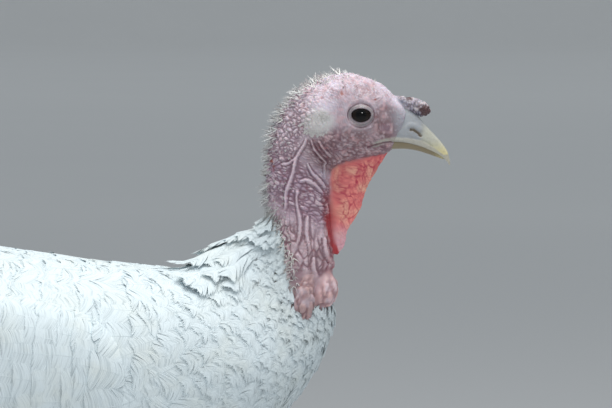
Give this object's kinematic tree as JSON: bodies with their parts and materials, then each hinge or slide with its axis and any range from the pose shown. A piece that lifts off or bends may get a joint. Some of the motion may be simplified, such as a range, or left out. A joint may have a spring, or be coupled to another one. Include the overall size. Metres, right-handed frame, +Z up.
{
  "type": "domestic turkey model",
  "caption": "Life-size still model of a white domestic turkey hen, standing with raised neck, bare wattled head, folded wings and folded tail.",
  "frame": {"origin": "middle of the bounding box in plan, at the floor that the feet stand on", "axes": "+X ahead, the way the bill points; +Y to the bird's left; +Z up"},
  "size_m": [0.7442, 0.2062, 0.5216],
  "materials": {
    "feathers": "soft white vanes, matt",
    "ear_feathers": "short dense off-white tufts",
    "head_skin": "bare, finely wrinkled, lavender pink, slight sheen",
    "wattle_skin": "coral red with crimson veins, slight sheen",
    "snood_skin": "wrinkled, grey pink",
    "leg_skin": "scaled, flesh pink, satin",
    "bill": "horn, satin",
    "claws": "horn, satin",
    "eyes": "wet gloss, near black"
  },
  "bodies": {
    "root": {"head": "head_skin", "neck_upper": "head_skin", "neck_lower": "feathers", "trunk": "feathers", "eye_right": "eyes", "eye_left": "eyes", "bill_upper": "bill", "bill_lower": "bill", "snood": "snood_skin", "wattle": "wattle_skin", "caruncle_right": "head_skin", "caruncle_left": "head_skin", "caruncle_middle": "head_skin", "ear_right": "ear_feathers", "ear_left": "ear_feathers", "tail": "feathers", "wing_right": "feathers", "thigh_right": "feathers", "shank_right": "leg_skin", "foot_right": "leg_skin", "claw_inner_right": "claws", "claw_middle_right": "claws", "claw_outer_right": "claws", "claw_hind_right": "claws", "wing_left": "feathers", "thigh_left": "feathers", "shank_left": "leg_skin", "foot_left": "leg_skin", "claw_inner_left": "claws", "claw_middle_left": "claws", "claw_outer_left": "claws", "claw_hind_left": "claws"}
  },
  "joints": []
}
